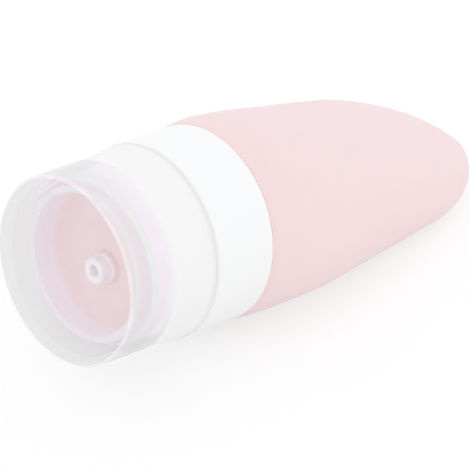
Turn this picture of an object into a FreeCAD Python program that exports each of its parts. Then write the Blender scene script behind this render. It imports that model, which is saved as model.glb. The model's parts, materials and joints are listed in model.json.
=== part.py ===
"""Travel bottle of soft silicone with a white collar, a screw-in spout and a clear screw cap.

Every piece is drawn about the bottle's own axis: local Z runs from the cap's front face to the
tail, local X across the flattened body and local Y through its thickness. The whole bottle is
then laid down on its straight underside, with the origin under the middle of its box.
"""
import FreeCAD
import Part
import math
import os

import Sketcher

DRIVING = {
    # clear cap
    "cap_length": 22.9,
    "cap_flare_length": 6.0,
    "cap_wall": 1.7,
    "cap_draft": 0.5,
    "cap_front_wall": 2.0,
    "cap_front_round": 0.6,
    "cap_rim_wall": 2.2,
    "cap_rim_round": 1.0,
    "cap_thread_room": 0.6,
    # seals: one carried by the cap, one under the spout's flange
    "seal_gap": 0.05,
    "cap_seal_width": 1.4,
    "cap_seal_depth": 1.5,
    "cap_seal_play": 0.1,
    "neck_seal_depth": 0.9,
    # white collar
    "seam_gap": 0.3,
    "collar_length": 17.1,
    "collar_wall": 1.8,
    "collar_draft": 0.5,
    "collar_lip": 1.6,
    "collar_round": 0.4,
    # spout: flanged neck for the cap, sunken floor with the nozzle, stem for the insert
    "stem_radius": 17.0,
    "stem_wall": 1.8,
    "stem_length": 11.0,
    "stem_play": 0.3,
    "flange_depth": 1.5,
    "flange_play": 0.3,
    "neck_step": 0.4,
    "neck_wall": 1.8,
    "neck_headroom": 3.7,
    "neck_thread_depth": 0.9,
    "neck_thread_play": 0.2,
    "neck_rim_round": 0.4,
    "dish_depth": 6.3,
    "dish_round": 2.5,
    "floor_depth": 1.4,
    "nozzle_radius": 2.9,
    "nozzle_wall": 1.5,
    "nozzle_height": 4.0,
    "nozzle_foot_spread": 0.6,
    "nozzle_foot_height": 1.3,
    "nozzle_offset": 1.8,
    "nozzle_side": 1.0,
    # threaded insert that holds the silicone mouth against the collar
    "insert_flange_width": 1.2,
    "insert_flange_depth": 1.5,
    "insert_wall": 1.5,
    "insert_length": 13.0,
    "insert_lead": 0.6,
    # silicone body, with stations counted from the collar's rear edge and spreads from its radius
    "soft_fit": 0.05,
    "mouth_wall": 2.0,
    "bead_length": 2.2,
    "bead_height": 0.6,
    "body_length": 88.6,
    "body_wall": 2.2,
    "tail_wall": 3.0,
    "swell_station": 4.0,
    "swell_spread": 1.0,
    "swell_lift": 0.3,
    "shoulder_station": 12.0,
    "shoulder_spread": 2.8,
    "shoulder_drop": 0.7,
    "belly_station": 24.0,
    "belly_spread": 3.8,
    "tail_half_width": 23.4,
    "tail_half_depth": 3.6,
    "tail_round": 29.0,
    "tail_tip_round": 4.3,
    "swell_easing": 0.03,
    "side_easing": 0.12,
    "rest_flat": 0.5,
}

# Places and fits that follow from the driving dimensions, in the order that they build on each other.
DERIVED = {
    "insert_bore": "stem_radius + stem_play",
    "insert_outer": "insert_bore + insert_wall",
    "flange_radius": "insert_outer + insert_flange_width",
    "mouth_bore": "insert_outer + soft_fit",
    "mouth_outer": "mouth_bore + mouth_wall",
    "collar_bore": "mouth_outer + soft_fit",
    "collar_radius": "collar_bore + collar_wall",
    "collar_front_radius": "collar_radius - collar_draft",
    "collar_seat_radius": "flange_radius + flange_play",
    "groove_radius": "collar_bore + bead_height",
    "bead_outer": "groove_radius - soft_fit",
    "neck_radius": "stem_radius + neck_step",
    "neck_bore": "neck_radius - neck_wall",
    "stem_bore": "stem_radius - stem_wall",
    "nozzle_bore_radius": "nozzle_radius - nozzle_wall",
    "nozzle_foot_radius": "nozzle_radius + nozzle_foot_spread",
    "cap_seal_inner": "neck_radius + neck_thread_depth + neck_thread_play",
    "cap_seal_outer": "cap_seal_inner + cap_seal_width",
    "cap_seal_bore": "cap_seal_outer + cap_seal_play",
    "cap_rim_radius": "cap_seal_bore + cap_rim_wall",
    "cap_bore": "cap_seal_inner + cap_thread_room",
    "cap_front_radius": "cap_bore + cap_wall",
    "cap_radius": "cap_front_radius + cap_draft",
    "cap_flare_start": "cap_length - cap_flare_length",
    "collar_front": "cap_length + seam_gap",
    "collar_rear": "collar_front + collar_length",
    "cap_seal_rear": "collar_front - seal_gap",
    "cap_seal_front": "cap_seal_rear - cap_seal_depth",
    "cap_seat": "cap_seal_front - seal_gap",
    "flange_rear": "collar_front + flange_depth",
    "neck_seal_front": "flange_rear + seal_gap",
    "neck_seal_rear": "neck_seal_front + neck_seal_depth",
    "insert_front": "neck_seal_rear + seal_gap",
    "insert_flange_rear": "insert_front + insert_flange_depth",
    "insert_rear": "insert_flange_rear + insert_length",
    "insert_lead_outer": "insert_outer - insert_lead",
    "insert_lead_front": "insert_rear - insert_lead",
    "collar_lip_rear": "insert_flange_rear + collar_lip",
    "groove_rear": "collar_lip_rear + bead_length",
    "neck_rim": "cap_front_wall + neck_headroom",
    "dish_floor": "neck_rim + dish_depth",
    "floor_rear": "dish_floor + floor_depth",
    "stem_end": "flange_rear + stem_length",
    "nozzle_tip": "dish_floor - nozzle_height",
    "mouth_front": "collar_lip_rear + soft_fit",
    "bead_rear": "groove_rear - soft_fit",
    "body_root": "collar_rear + soft_fit",
    "body_end": "body_root + body_length",
    "cavity_root": "body_root + body_wall",
    "cavity_root_radius": "collar_radius - body_wall",
    "cavity_end": "body_end - tail_wall",
    "swell_place": "body_root + swell_station",
    "swell_half_width": "collar_radius + swell_spread",
    "swell_half_depth": "collar_radius + swell_lift",
    "shoulder_place": "body_root + shoulder_station",
    "shoulder_half_width": "collar_radius + shoulder_spread",
    "shoulder_half_depth": "collar_radius - shoulder_drop",
    "belly_place": "body_root + belly_station",
    "belly_half_width": "collar_radius + belly_spread",
    "waist_place": "( belly_place + body_end - tail_round ) / 2",
    "width_taper": "( belly_half_width - tail_half_width ) / ( body_end - belly_place )",
    "depth_taper": "( shoulder_half_depth - tail_half_depth ) / ( body_end - shoulder_place )",
    "flat_tail": "tail_half_depth - rest_flat * sqrt( 1 + depth_taper ^ 2 )",
    "flat_root": "flat_tail + depth_taper * body_length",
    "flat_reach": "flat_root + body_wall",
}

# Where the tail is rounded in plan, the sections stand at these shares of the rounding's length.
TAIL_STEPS = (0.0, 0.4, 0.65, 0.83, 0.94, 0.985, 0.997)

# Two lengths closer than this are the same when an edge is looked up, in millimetres.
SAME_PLACE = 1e-4

# The bottle's box is taken from facets this close to the true surface, in millimetres.
BOX_FACET = 0.01

doc = FreeCAD.newDocument("TravelBottle")
sheet = doc.addObject("Spreadsheet::Sheet", "Dims")
layout = doc.addObject("App::FeaturePython", "Layout")


def fill_sheet():
    """Give each driving dimension an aliased cell."""
    for row, (name, size) in enumerate(DRIVING.items(), start=1):
        sheet.set(f"A{row}", name)
        sheet.set(f"B{row}", str(size))
        sheet.setAlias(f"B{row}", name)
    doc.recompute()


def bound(expression):
    """The expression with each name replaced by the property that holds its value."""
    words = expression.split()
    for place, word in enumerate(words):
        if word in DRIVING:
            words[place] = "Dims." + word
        elif word in layout.PropertiesList:
            words[place] = "Layout." + word
    return " ".join(words)


def derive(name, expression):
    """Add a derived value to the layout and return its name."""
    layout.addProperty("App::PropertyFloat", name)
    layout.setExpression(name, bound(expression))
    layout.recompute()
    return name


def value(name):
    """A driving or derived value by name, where no name is zero."""
    if name is None:
        return 0.0
    return getattr(sheet if name in DRIVING else layout, name)


def new_body(label):
    """An empty body whose label names its piece."""
    body = doc.addObject("PartDesign::Body", label)
    body.Label = label
    return body


def new_sketch(body, name, plane, station=None):
    """A sketch on one of the body's own planes, moved along the plane's normal to a station."""
    sketch = body.newObject("Sketcher::SketchObject", name)
    support = next(item for item in body.Origin.OriginFeatures if item.Role == plane)
    sketch.AttachmentSupport = [(support, "")]
    sketch.MapMode = "FlatFace"
    if station:
        sketch.setExpression("AttachmentOffset.Base.z", bound(station))
    return sketch


def tie_size(sketch, name, *constraint):
    """Add a constraint whose size is a named value."""
    index = sketch.addConstraint(Sketcher.Constraint(*constraint, abs(value(name))))
    sketch.setExpression(f"Constraints[{index}]", bound(name))


def tie_point(sketch, geometry, vertex, across, along):
    """Hold a vertex at named distances from the origin, or on an axis where there is no name."""
    for name, kind, axis in ((across, "DistanceX", -2), (along, "DistanceY", -1)):
        if name:
            tie_size(sketch, name, kind, -1, 1, geometry, vertex)
        else:
            sketch.addConstraint(Sketcher.Constraint("PointOnObject", geometry, vertex, axis))


def end_at(sketch, geometry, point):
    """The end of a line or arc that lies at the point."""
    return min((1, 2), key=lambda end: sketch.getPoint(geometry, end).distanceToPoint(point))


def flare_arc(start, end):
    """An arc that leaves its start nearly along the axis and swings outwards to its end."""
    rise = end.x - start.x
    run = end.y - start.y
    radius = (run ** 2 + rise ** 2) / (2 * rise)
    half_turn = math.asin(run / radius) / 2
    bulge = FreeCAD.Vector(radius * (1 - math.cos(half_turn)), radius * math.sin(half_turn), 0)
    return Part.Arc(start, start + bulge, end)


def outline_sketch(body, name, outline):
    """A closed outline of (radius, station) names in the plane through the bottle's axis.

    No name means zero. A third word, flare, makes the stretch that ends there an arc that
    carries on smoothly from the stretch before it.
    """
    sketch = new_sketch(body, name + "_outline", "XZ_Plane")
    corners = [FreeCAD.Vector(value(corner[0]), value(corner[1]), 0) for corner in outline]
    stretches = []
    for place, start in enumerate(corners):
        following = (place + 1) % len(corners)
        end = corners[following]
        curve = flare_arc(start, end) if "flare" in outline[following] else Part.LineSegment(start, end)
        stretches.append(sketch.addGeometry(curve))
    for place, corner in enumerate(corners):
        before = stretches[place - 1]
        after = stretches[place]
        ends = (before, end_at(sketch, before, corner), after, end_at(sketch, after, corner))
        smooth = "flare" in outline[(place + 1) % len(outline)]
        sketch.addConstraint(Sketcher.Constraint("Tangent" if smooth else "Coincident", *ends))
        tie_point(sketch, ends[0], ends[1], outline[place][0], outline[place][1])
    return sketch


def revolve(body, name, outline, feature="PartDesign::Revolution"):
    """Turn an outline once round the bottle's axis, as solid or as a cut."""
    sketch = outline_sketch(body, name, outline)
    turned = body.newObject(feature, name)
    turned.Profile = sketch
    turned.ReferenceAxis = (sketch, ["V_Axis"])
    turned.Angle = 360
    doc.recompute()
    return turned


def round_rims(body, name, size, rims):
    """Fillet the circular edges whose (radius, station) names are given."""
    base = body.Tip
    picked = []
    for number, edge in enumerate(base.Shape.Edges, start=1):
        if not isinstance(edge.Curve, Part.Circle):
            continue
        for across, along in rims:
            same_radius = abs(edge.Curve.Radius - value(across)) < SAME_PLACE
            if same_radius and abs(edge.Curve.Center.z - value(along)) < SAME_PLACE:
                picked.append(f"Edge{number}")
    if len(picked) < len(rims):
        raise RuntimeError(f"{name}: rims not found")
    fillet = body.newObject("PartDesign::Fillet", name)
    fillet.Base = (base, picked)
    fillet.setExpression("Radius", bound(size))
    doc.recompute()


def circle_feature(body, name, feature, radius, station, length):
    """Pad or pocket a round about the nozzle's own axis, from a station on along the axis."""
    sketch = new_sketch(body, name + "_round", "XY_Plane", station)
    middle = FreeCAD.Vector(-value("nozzle_side"), -value("nozzle_offset"), 0)
    ring = sketch.addGeometry(Part.Circle(middle, FreeCAD.Vector(0, 0, 1), value(radius)))
    tie_size(sketch, radius, "Radius", ring)
    tie_size(sketch, "nozzle_side", "DistanceX", ring, 3, -1, 1)
    tie_size(sketch, "nozzle_offset", "DistanceY", ring, 3, -1, 1)
    made = body.newObject(feature, name)
    made.Profile = sketch
    made.Reversed = feature == "PartDesign::Pocket"
    made.setExpression("Length", bound(length))
    doc.recompute()


def oval_sketch(body, name, station, half_width, half_depth, side):
    """An oval of four smoothly joined arcs; equal half width, half depth and side make it round."""
    if half_width == half_depth:
        crown = side
        joint_x = derive(name + "_joint_x", f"{side} / sqrt(2)")
        joint_y = joint_x
    else:
        crown_rule = "( ( {0} - {2} ) ^ 2 + {1} ^ 2 - {2} ^ 2 ) / ( 2 * ( {1} - {2} ) )"
        crown = derive(name + "_crown", crown_rule.format(half_width, half_depth, side))
        joint_x = derive(name + "_joint_x", f"( {half_width} - {side} ) * {crown} / ( {crown} - {side} )")
        joint_y = derive(name + "_joint_y", f"{side} * ( {crown} - {half_depth} ) / ( {crown} - {side} )")
    sketch = new_sketch(body, name, "XY_Plane", station)
    side_reach = value(half_width) - value(side)
    crown_drop = value(crown) - value(half_depth)
    turn = math.atan2(value(joint_y), value(joint_x) - side_reach)
    quarter = math.pi / 2
    arcs = (
        (side_reach, 0, side, -turn, turn),
        (0, -crown_drop, crown, turn, 2 * quarter - turn),
        (-side_reach, 0, side, 2 * quarter - turn, 2 * quarter + turn),
        (0, crown_drop, crown, 2 * quarter + turn, 4 * quarter - turn),
    )
    for x, y, radius, start, end in arcs:
        circle = Part.Circle(FreeCAD.Vector(x, y, 0), FreeCAD.Vector(0, 0, 1), value(radius))
        sketch.addGeometry(Part.ArcOfCircle(circle, start, end))
    for arc in range(4):
        sketch.addConstraint(Sketcher.Constraint("Coincident", arc, 2, (arc + 1) % 4, 1))
    tie_point(sketch, 0, 2, joint_x, joint_y)
    for first, second, axis in ((0, 1, -2), (1, 2, -1), (2, 3, -2)):
        sketch.addConstraint(Sketcher.Constraint("Symmetric", first, 2, second, 2, axis))
    tie_size(sketch, side, "Radius", 0)
    tie_size(sketch, crown, "Radius", 1)
    sketch.addConstraint(Sketcher.Constraint("Equal", 0, 2))
    sketch.addConstraint(Sketcher.Constraint("Equal", 1, 3))
    return sketch


def body_sections(body, name, wall, root, root_radius, end):
    """The ovals of the body's outside or of its cavity, from the round root to the tail.

    The half depth falls in a straight line from the shoulder to the tail, which makes the
    underside straight. A wall of None draws the outside.
    """
    less = f"- {wall}" if wall else ""
    rounding = derive(f"{name}_rounding", f"tail_round {less}")
    tip_rounding = derive(f"{name}_tip_rounding", f"tail_tip_round {less}")
    sections = [oval_sketch(body, f"{name}_root", root, root_radius, root_radius, root_radius)]
    places = [(label, label + "_place", None) for label in ("swell", "shoulder", "belly", "waist")]
    for number, share in enumerate(TAIL_STEPS):
        place = derive(f"{name}_tail_{number}_place", f"{end} - {rounding} * {1 - share}")
        places.append((f"tail_{number}", place, share))
    for label, place, share in places:
        width_rule = f"belly_half_width - width_taper * ( {place} - belly_place ) {less}"
        depth_rule = f"shoulder_half_depth - depth_taper * ( {place} - shoulder_place ) {less}"
        if label in ("swell", "shoulder"):
            width_rule = f"{label}_half_width {less}"
            depth_rule = f"{label}_half_depth {less}"
        if share:
            width_rule = f"( {width_rule} ) * sqrt( 1 - {share} ^ 2 )"
            tip = f"max( 0 ; 1 - ( {end} - {place} ) / {tip_rounding} )"
            depth_rule = f"( {depth_rule} ) * sqrt( 1 - {tip} ^ 2 )"
        width = derive(f"{name}_{label}_width", width_rule)
        depth = derive(f"{name}_{label}_depth", depth_rule)
        easing = "swell_easing" if label == "swell" else "side_easing"
        side = derive(f"{name}_{label}_side", f"( 1 - {easing} ) * {depth}")
        sections.append(oval_sketch(body, f"{name}_{label}", place, width, depth, side))
    return sections


def loft(body, name, feature, sections):
    """Loft through the sections, as solid or as a cut."""
    lofted = body.newObject(feature, name)
    lofted.Profile = sections[0]
    lofted.Sections = sections[1:]
    lofted.Ruled = False
    doc.recompute()


def flatten_underside(body):
    """Cut the shallow flat on which the soft underside settles when the bottle lies down."""
    sketch = new_sketch(body, "underside", "YZ_Plane")
    corners = (
        ("flat_root", "body_root"),
        ("flat_tail", "body_end"),
        ("flat_reach", "body_end"),
        ("flat_reach", "body_root"),
    )
    points = [FreeCAD.Vector(-value(below), value(station), 0) for below, station in corners]
    for place, point in enumerate(points):
        sketch.addGeometry(Part.LineSegment(point, points[(place + 1) % len(points)]))
    for place, (below, station) in enumerate(corners):
        before = (place - 1) % len(corners)
        sketch.addConstraint(Sketcher.Constraint("Coincident", before, 2, place, 1))
        tie_size(sketch, below, "DistanceX", place, 1, -1, 1)
        tie_size(sketch, station, "DistanceY", -1, 1, place, 1)
    flat = body.newObject("PartDesign::Pocket", "flat")
    flat.Profile = sketch
    flat.SideType = "Symmetric"
    flat.setExpression("Length", bound("2 * flat_reach"))
    doc.recompute()


def make_silicone_body():
    """Hollow squeeze body with a beaded mouth and a shallow flat underneath, all one moulding."""
    body = new_body("silicone_body")
    outside = body_sections(body, "outside", None, "body_root", "collar_radius", "body_end")
    loft(body, "outside", "PartDesign::AdditiveLoft", outside)
    revolve(body, "mouth", [
        (None, "mouth_front"),
        ("bead_outer", "mouth_front"),
        ("bead_outer", "bead_rear"),
        ("mouth_outer", "bead_rear"),
        ("mouth_outer", "cavity_root"),
        (None, "cavity_root"),
    ])
    cavity = body_sections(body, "cavity", "body_wall", "cavity_root", "cavity_root_radius", "cavity_end")
    loft(body, "cavity", "PartDesign::SubtractiveLoft", cavity)
    revolve(body, "mouth_hole", [
        (None, "insert_front"),
        ("mouth_bore", "insert_front"),
        ("mouth_bore", "shoulder_place"),
        (None, "shoulder_place"),
    ], "PartDesign::Groove")
    flatten_underside(body)
    return body


def make_thread_insert():
    """Flanged sleeve inside the silicone mouth, which the spout's stem screws into."""
    body = new_body("thread_insert")
    revolve(body, "sleeve", [
        ("insert_bore", "insert_front"),
        ("flange_radius", "insert_front"),
        ("flange_radius", "insert_flange_rear"),
        ("insert_outer", "insert_flange_rear"),
        ("insert_outer", "insert_lead_front"),
        ("insert_lead_outer", "insert_rear"),
        ("insert_bore", "insert_rear"),
    ])
    return body


def make_collar():
    """White ring round the silicone mouth, with a seat for the flanges and a groove for the bead."""
    body = new_body("collar")
    revolve(body, "ring", [
        ("collar_seat_radius", "collar_front"),
        ("collar_front_radius", "collar_front"),
        ("collar_radius", "collar_rear"),
        ("collar_bore", "collar_rear"),
        ("collar_bore", "groove_rear"),
        ("groove_radius", "groove_rear"),
        ("groove_radius", "collar_lip_rear"),
        ("mouth_bore", "collar_lip_rear"),
        ("mouth_bore", "insert_flange_rear"),
        ("collar_seat_radius", "insert_flange_rear"),
    ])
    round_rims(body, "soft_edges", "collar_round", [
        ("collar_front_radius", "collar_front"),
        ("collar_radius", "collar_rear"),
    ])
    return body


def make_neck_seal():
    """Flat ring squeezed between the spout's flange and the insert's."""
    body = new_body("neck_seal")
    revolve(body, "washer", [
        ("insert_bore", "neck_seal_front"),
        ("flange_radius", "neck_seal_front"),
        ("flange_radius", "neck_seal_rear"),
        ("insert_bore", "neck_seal_rear"),
    ])
    return body


def make_spout():
    """Flanged neck with a stem below, and a sunken floor that carries the off-centre nozzle."""
    body = new_body("spout")
    revolve(body, "neck", [
        (None, "dish_floor"),
        ("neck_bore", "dish_floor"),
        ("neck_bore", "neck_rim"),
        ("neck_radius", "neck_rim"),
        ("neck_radius", "collar_front"),
        ("flange_radius", "collar_front"),
        ("flange_radius", "flange_rear"),
        ("stem_radius", "flange_rear"),
        ("stem_radius", "stem_end"),
        ("stem_bore", "stem_end"),
        ("stem_bore", "floor_rear"),
        (None, "floor_rear"),
    ])
    round_rims(body, "soft_rim", "neck_rim_round", [
        ("neck_bore", "neck_rim"),
        ("neck_radius", "neck_rim"),
    ])
    round_rims(body, "soft_dish", "dish_round", [("neck_bore", "dish_floor")])
    circle_feature(body, "nozzle_tube", "PartDesign::Pad", "nozzle_radius", "nozzle_tip",
                   "nozzle_height + floor_depth / 2")
    circle_feature(body, "nozzle_foot", "PartDesign::Pad", "nozzle_foot_radius",
                   "dish_floor - nozzle_foot_height", "nozzle_foot_height + floor_depth / 2")
    circle_feature(body, "nozzle_bore", "PartDesign::Pocket", "nozzle_bore_radius", "nozzle_tip",
                   "nozzle_height + 2 * floor_depth")
    return body


def make_cap_seal():
    """Flat ring that rides in the cap's rear rim and bears on the spout's flange."""
    body = new_body("cap_seal")
    revolve(body, "washer", [
        ("cap_seal_inner", "cap_seal_front"),
        ("cap_seal_outer", "cap_seal_front"),
        ("cap_seal_outer", "cap_seal_rear"),
        ("cap_seal_inner", "cap_seal_rear"),
    ])
    return body


def make_cap():
    """Clear cup with a flat front to stand on, a flared rear rim and a seat for its seal."""
    body = new_body("cap")
    revolve(body, "cup", [
        (None, None),
        ("cap_front_radius", None),
        ("cap_radius", "cap_flare_start"),
        ("cap_rim_radius", "cap_length", "flare"),
        ("cap_seal_bore", "cap_length"),
        ("cap_seal_bore", "cap_seat"),
        ("cap_bore", "cap_seat"),
        ("cap_bore", "cap_front_wall"),
        (None, "cap_front_wall"),
    ])
    round_rims(body, "front_edge", "cap_front_round", [("cap_front_radius", None)])
    round_rims(body, "rear_edge", "cap_rim_round", [("cap_rim_radius", "cap_length")])
    return body


def lay_down(bodies):
    """Lay the bottle on its straight underside and put the origin under the middle of its box."""
    tilt = math.atan(value("depth_taper"))
    along = FreeCAD.Vector(math.cos(tilt), 0, -math.sin(tilt))
    across = FreeCAD.Vector(0, 1, 0)
    turn = FreeCAD.Rotation(across, along.cross(across), along, "ZXY")
    for body in bodies:
        body.Placement = FreeCAD.Placement(FreeCAD.Vector(), turn)
    doc.recompute()
    box = FreeCAD.BoundBox()
    for body in bodies:
        for point in body.Shape.tessellate(BOX_FACET)[0]:
            box.add(point)
    offset = FreeCAD.Vector(-box.Center.x, 0, -box.ZMin)
    for body in bodies:
        body.Placement = FreeCAD.Placement(offset, turn)
    doc.recompute()
    return tilt, offset


def check_model(bodies):
    """Stop if any object failed or any piece isn't one valid solid."""
    for item in doc.Objects:
        if "Invalid" in item.State or "Error" in item.State:
            raise RuntimeError(f"{item.Label} failed: {item.State}")
    for body in bodies:
        if body.Shape.isNull() or not body.Shape.isValid() or len(body.Shape.Solids) != 1:
            raise RuntimeError(f"{body.Label} isn't one valid solid")


fill_sheet()
for derived_name, rule in DERIVED.items():
    derive(derived_name, rule)

pieces = [
    make_silicone_body(),
    make_thread_insert(),
    make_collar(),
    make_neck_seal(),
    make_spout(),
    make_cap_seal(),
    make_cap(),
]
tilt, offset = lay_down(pieces)
check_model(pieces)

os.makedirs("parts", exist_ok=True)
for piece in pieces:
    piece.Shape.exportStep(f"parts/{piece.Label}.step")
    print(f"{piece.Label}: {piece.Shape.Volume / 1000:.2f} cm3")
print(f"tilt {math.degrees(tilt):.3f} degrees, axis starts at {offset.x:.4f}, {offset.z:.4f}")
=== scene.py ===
"""Dress the packed travel bottle: soft silicone body, white collar, screw-in spout and clear screw cap.

Each piece is built about the bottle's own axis, with stations counted from the cap's front face
towards the tail, and is then moved into the packed frame, where it stands for its solid.
"""
import json
import math

import bmesh
import bpy
from bpy.props import FloatProperty, FloatVectorProperty, IntProperty, PointerProperty
from mathutils import Matrix, Vector


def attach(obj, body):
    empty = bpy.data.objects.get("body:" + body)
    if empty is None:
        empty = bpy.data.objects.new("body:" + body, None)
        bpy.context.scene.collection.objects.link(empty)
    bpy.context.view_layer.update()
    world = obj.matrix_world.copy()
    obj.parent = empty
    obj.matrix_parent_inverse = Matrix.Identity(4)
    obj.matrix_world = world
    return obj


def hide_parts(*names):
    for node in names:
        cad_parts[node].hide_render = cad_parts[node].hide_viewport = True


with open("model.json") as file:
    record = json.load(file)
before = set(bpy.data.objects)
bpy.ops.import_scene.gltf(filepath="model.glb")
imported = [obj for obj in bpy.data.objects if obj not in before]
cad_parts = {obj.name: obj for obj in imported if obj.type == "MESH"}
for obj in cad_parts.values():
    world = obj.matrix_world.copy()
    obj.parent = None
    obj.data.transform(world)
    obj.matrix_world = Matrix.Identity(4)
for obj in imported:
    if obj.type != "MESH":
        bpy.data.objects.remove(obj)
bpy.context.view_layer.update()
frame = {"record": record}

bl_info = {
    "name": "Travel bottle",
    "version": (1, 0, 0),
    "blender": (4, 5, 0),
    "location": "3D View > Sidebar > Bottle",
    "description": "Builds a soft travel bottle piece by piece round its packed frame",
    "category": "Object",
}

RECORD = frame["record"]
BODY_OF = {node: body for body, nodes in RECORD["behaviour"]["bodies"].items() for node in nodes}

MM = 0.001
WHITE = (1.0, 1.0, 1.0, 1.0)
FILLET_STEPS = 5
FILLET_GUARD = 0.12 * MM
HAIR_ROUND = 0.12 * MM
SMALL_ROUND = 0.2 * MM
SOFT_ROUND = 0.3 * MM
MOUTH_ROUND, MOUTH_EDGE_ROUND, BEAD_ROUND = 0.8 * MM, 0.4 * MM, 0.5 * MM
STEM_ROUND, BORE_ROUND, LIP_ROUND = 0.6 * MM, 0.25 * MM, 0.35 * MM
HOLE_REACH = 2 * MM
NEAR = 1e-6
ROUND_ENOUGH = 1e-7
THREAD_STEP, WALL_PLAY = 0.2 * MM, 0.02 * MM
FLARE_POINTS, FLARE_SHARE = 10, 0.9
SHARP_ANGLE = math.radians(38)

# Slopes of the body's sides and of its top from the collar on, and how far its sides turn oval.
WIDTH_SLOPES = (0.27, 0.24, 0.15)
DEPTH_SLOPES = (0.14, -0.01)
SIDE_EASING = 0.12

# Start and spacing of the body's rings and their number in its tail, outside and in the cavity.
BODY_START, BODY_STEP, BODY_TAIL_RINGS = 0.8 * MM, 0.9 * MM, 56
CAVITY_START, CAVITY_STEP, CAVITY_TAIL_RINGS = 1.5 * MM, 1.2 * MM, 40

# Spans of a noise that clouds a colour or roughens a gloss, and the shadow of a hazy wall.
CLOUD_SPAN = (0.3, 0.7)
ROUGH_SPAN = (0.25, 0.75)
HAZE_SHADOW = 0.1


def axis_frame():
    """The bottle's own axis in the packed frame: its origin on the cap's front, its Z to the tail."""
    front = next(mount for mount in RECORD["mounts"] if mount["name"] == "standing_face")
    along = -Vector(front["axis"]).normalized()
    across = Vector((0.0, 1.0, 0.0))
    turn = Matrix((across, along.cross(across), along)).transposed()
    return Matrix.Translation(front["pos_m"]) @ turn.to_4x4()


TO_FRAME = axis_frame()


def amount(description, value, **limits):
    """A number to set."""
    return FloatProperty(description=description, default=value, min=0.0, **limits)


def share(description, value):
    """A share of the whole to set."""
    return amount(description, value, max=1.0, subtype="FACTOR")


def length(description, millimetres):
    """A length to set, given in millimetres."""
    return amount(description, millimetres * MM, precision=5, subtype="DISTANCE", unit="LENGTH")


def colour(description, *tint):
    """A linear colour to set."""
    return FloatVectorProperty(description=description, default=tint, size=3, min=0.0, max=1.0, subtype="COLOR")


def vector(description, *place):
    """A place or direction in the packed frame to set."""
    return FloatVectorProperty(description=description, default=place, size=3, precision=6)


class BottleThreadSizes(bpy.types.PropertyGroup):
    """Right-hand screw threads of the cap, the neck, the stem and the insert."""
    lead: length("Rise of a thread in one turn", 4.0)
    crest: length("Flat top of a ridge", 0.55)
    flank: length("Slope on each side of a ridge", 0.6)
    run_out: share("Share of a turn over which a ridge fades", 0.12)
    neck_depth: length("Height of the neck's ridge", 0.85)
    neck_first: length("Where the neck's ridge starts", 8.6)
    neck_turns: amount("Turns of the neck's ridge", 2.6)
    cap_depth: length("Height of the cap's ridge", 1.25)
    cap_first: length("Where the cap's ridge starts", 6.6)
    cap_turns: amount("Turns of the cap's ridge", 3.4)
    stem_depth: length("Height of the stem's ridge", 0.7)
    stem_first: length("Where the stem's ridge starts", 27.4)
    stem_turns: amount("Turns of the stem's ridge", 1.9)
    groove_depth: length("Depth of the insert's groove", 0.95)
    groove_turns: amount("Turns of the insert's groove", 3.6)
    groove_play: length("Play of a ridge in the groove", 0.5)


class BottleBodySizes(bpy.types.PropertyGroup):
    """Soft silicone body."""
    root: length("Station of the step against the collar", 40.35)
    length: length("From the step to the tail", 88.59)
    root_radius: length("Radius of the step against the collar", 22.7)
    root_round: length("Rounding of the step's edge", 0.5)
    swell: length("Where the body swells, from the step", 4.0)
    swell_width: length("Half width at the swell", 23.7)
    swell_depth: length("Half depth at the swell", 23.0)
    shoulder: length("Where the straight underside starts, from the step", 12.0)
    shoulder_width: length("Half width at the shoulder", 25.5)
    shoulder_depth: length("Half depth at the shoulder", 22.0)
    belly: length("Where the body is widest, from the step", 24.0)
    belly_width: length("Half width at the belly", 26.46)
    tail_width: length("Half width towards which the sides run", 23.4)
    tail_depth: length("Half depth of the flat tail", 3.6)
    tail_round: length("Over which the tail rounds off in plan", 29.0)
    tip_round: length("Over which the tail's edge rounds off", 4.3)
    wall: length("Thickness of the soft wall", 2.2)
    tail_wall: length("Thickness of the tail", 3.0)
    mouth_front: length("Where the mouth starts", 28.85)
    mouth_bore: length("Radius of the hole in the mouth", 18.85)
    mouth_outer: length("Outer radius of the mouth", 20.85)
    bead_outer: length("Outer radius of the bead", 21.45)
    bead_rear: length("Where the bead ends", 30.95)
    settle: length("Height over which the wall settles", 0.4)
    tint: colour("Pale pink silicone", 0.92, 0.74, 0.758)
    tint_root: colour("Deeper pink by the collar", 0.92, 0.725, 0.738)


class BottleInsertSizes(bpy.types.PropertyGroup):
    """Threaded insert inside the silicone mouth."""
    front: length("Front of the flange", 25.7)
    flange_rear: length("Rear of the flange", 27.2)
    rear: length("Rear of the sleeve", 40.2)
    bore: length("Inner radius of the sleeve", 17.3)
    outer: length("Outer radius of the sleeve", 18.8)
    flange: length("Outer radius of the flange", 20.0)
    lead_in: length("Chamfer at the sleeve's rear", 0.6)
    tint: colour("Natural white plastic", 0.86, 0.86, 0.85)


class BottleCollarSizes(bpy.types.PropertyGroup):
    """White collar round the silicone mouth."""
    front: length("Front face", 23.2)
    rear: length("Rear face", 40.3)
    front_radius: length("Outer radius at the front", 22.2)
    rear_radius: length("Outer radius at the rear", 22.7)
    front_round: length("Rounding of the front edge", 0.25)
    rear_round: length("Rounding of the rear edge", 0.4)
    seat_radius: length("Radius of the seat for the flanges", 20.3)
    seat_rear: length("Floor of the seat", 27.2)
    lip_rear: length("Rear of the lip", 28.8)
    lip_bore: length("Radius of the hole in the lip", 18.85)
    groove_rear: length("Where the groove for the bead ends", 31.0)
    groove_radius: length("Radius of the groove for the bead", 21.5)
    bore: length("Inner radius round the mouth", 20.9)
    tint: colour("Cool white plastic", 0.945, 0.953, 0.96)
    # Painted shade along the seam with the cap's rim.
    seam_painted_shade: colour("Greyer white along the cap's rim", 0.81, 0.81, 0.81)
    # Painted lavender cast on the lower side of the collar.
    lower_painted_cast: colour("White plastic with a trace of lavender", 0.95, 0.947, 0.957)


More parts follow.
